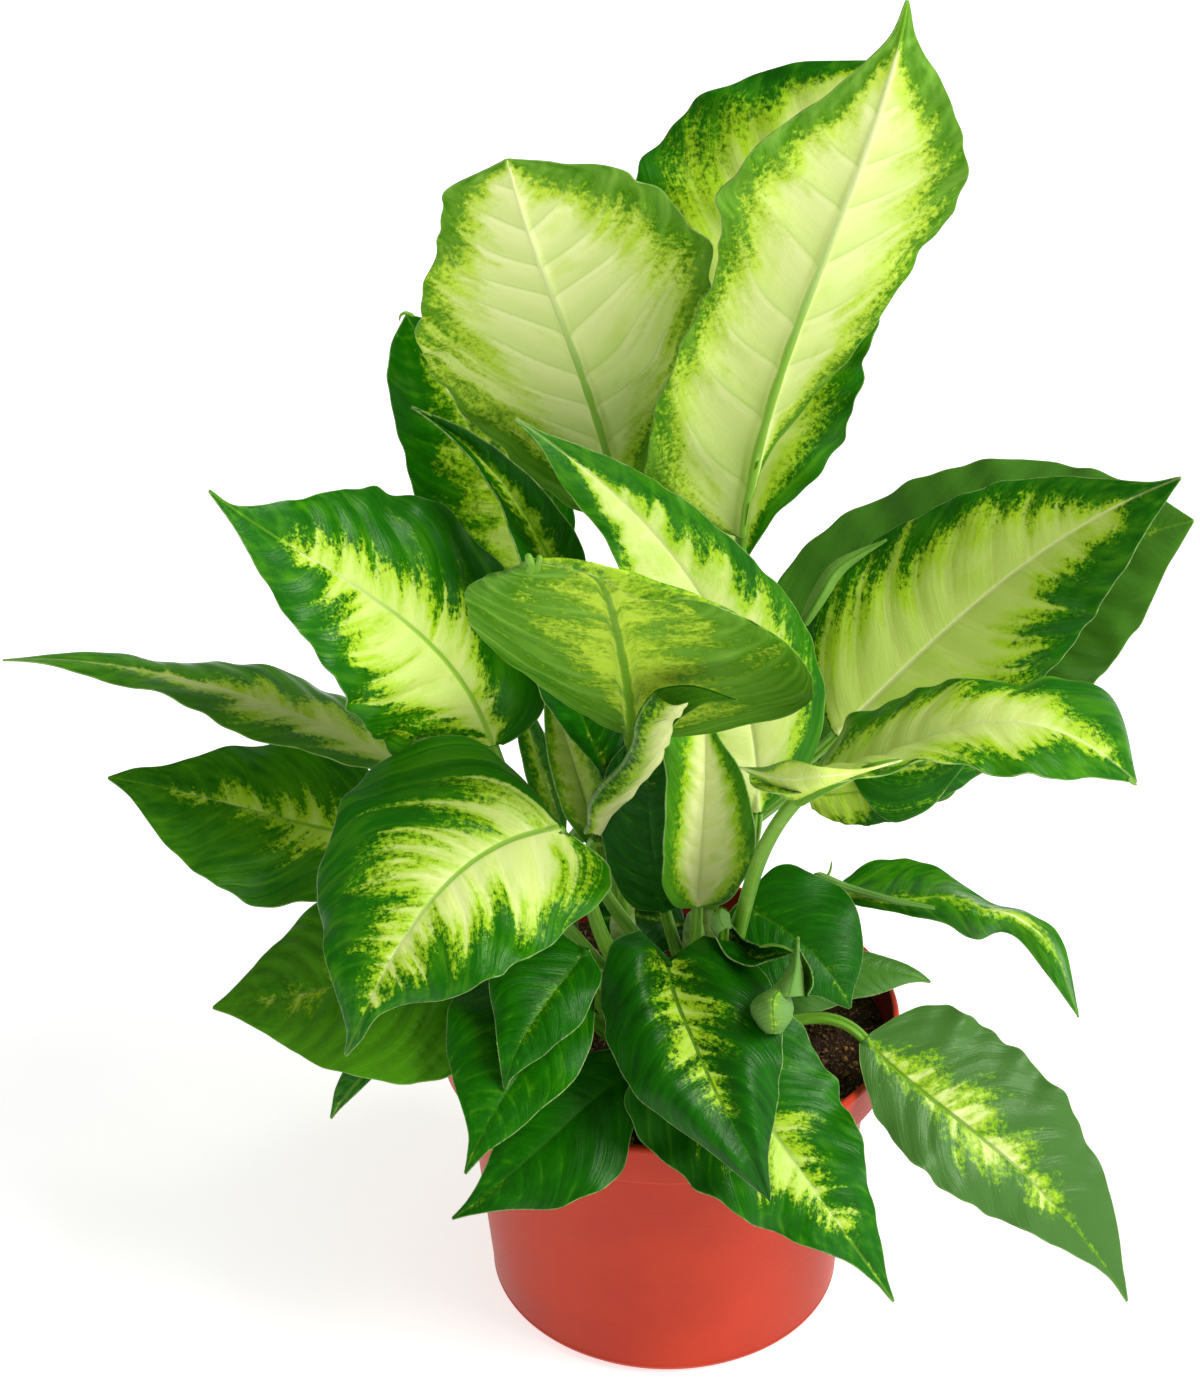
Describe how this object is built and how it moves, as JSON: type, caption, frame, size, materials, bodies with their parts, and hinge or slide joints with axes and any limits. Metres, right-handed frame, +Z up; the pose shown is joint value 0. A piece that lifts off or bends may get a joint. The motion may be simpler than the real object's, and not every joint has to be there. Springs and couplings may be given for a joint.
{
  "type": "potted dieffenbachia",
  "caption": "Bushy house plant with broad pointed leaves, cream in the middle and green at the edge, growing from soil in a plain round tapered pot.",
  "frame": {"origin": "middle of the pot's flat underside, which stands on the floor", "axes": "+Z up; -Y towards the side that the picture shows, +X to its right"},
  "size_m": [0.4184, 0.3096, 0.5021],
  "materials": {
    "pot": "satin",
    "soil": "matte",
    "cane": "satin",
    "leaf": "satin"
  },
  "bodies": {
    "root": {"pot": "pot", "soil": "soil", "cane_left": "cane", "cane_back": "cane", "cane_right": "cane", "cane_middle": "cane", "cane_front": "cane", "cane_side": "cane", "leaf_top_right": "leaf", "leaf_top_left": "leaf", "leaf_top_back": "leaf", "leaf_left_behind": "leaf", "leaf_left_folded": "leaf", "leaf_centre_tall": "leaf", "leaf_centre_bowed": "leaf", "leaf_left_upper": "leaf", "leaf_left_narrow": "leaf", "leaf_left_middle": "leaf", "leaf_left_broad": "leaf", "leaf_left_low": "leaf", "leaf_left_lowest": "leaf", "leaf_front_left_small": "leaf", "leaf_front_left_low": "leaf", "leaf_front_left_rim": "leaf", "leaf_front_middle": "leaf", "leaf_front_right": "leaf", "leaf_right_drooping": "leaf", "leaf_right_narrow": "leaf", "leaf_right_small": "leaf", "leaf_right_pointed": "leaf", "leaf_right_arched": "leaf", "leaf_right_upper": "leaf", "leaf_right_behind": "leaf", "leaf_centre_cream": "leaf", "leaf_centre_rolled": "leaf", "leaf_centre_dark": "leaf", "leaf_centre_shaded": "leaf", "leaf_centre_young": "leaf", "leaf_centre_slim": "leaf", "leaf_front_curled": "leaf", "leaf_back_left": "leaf", "leaf_back_top": "leaf", "leaf_back_right": "leaf", "leaf_back_low_left": "leaf", "leaf_back_low": "leaf", "leaf_inner_left": "leaf", "leaf_inner_right": "leaf"}
  },
  "joints": []
}
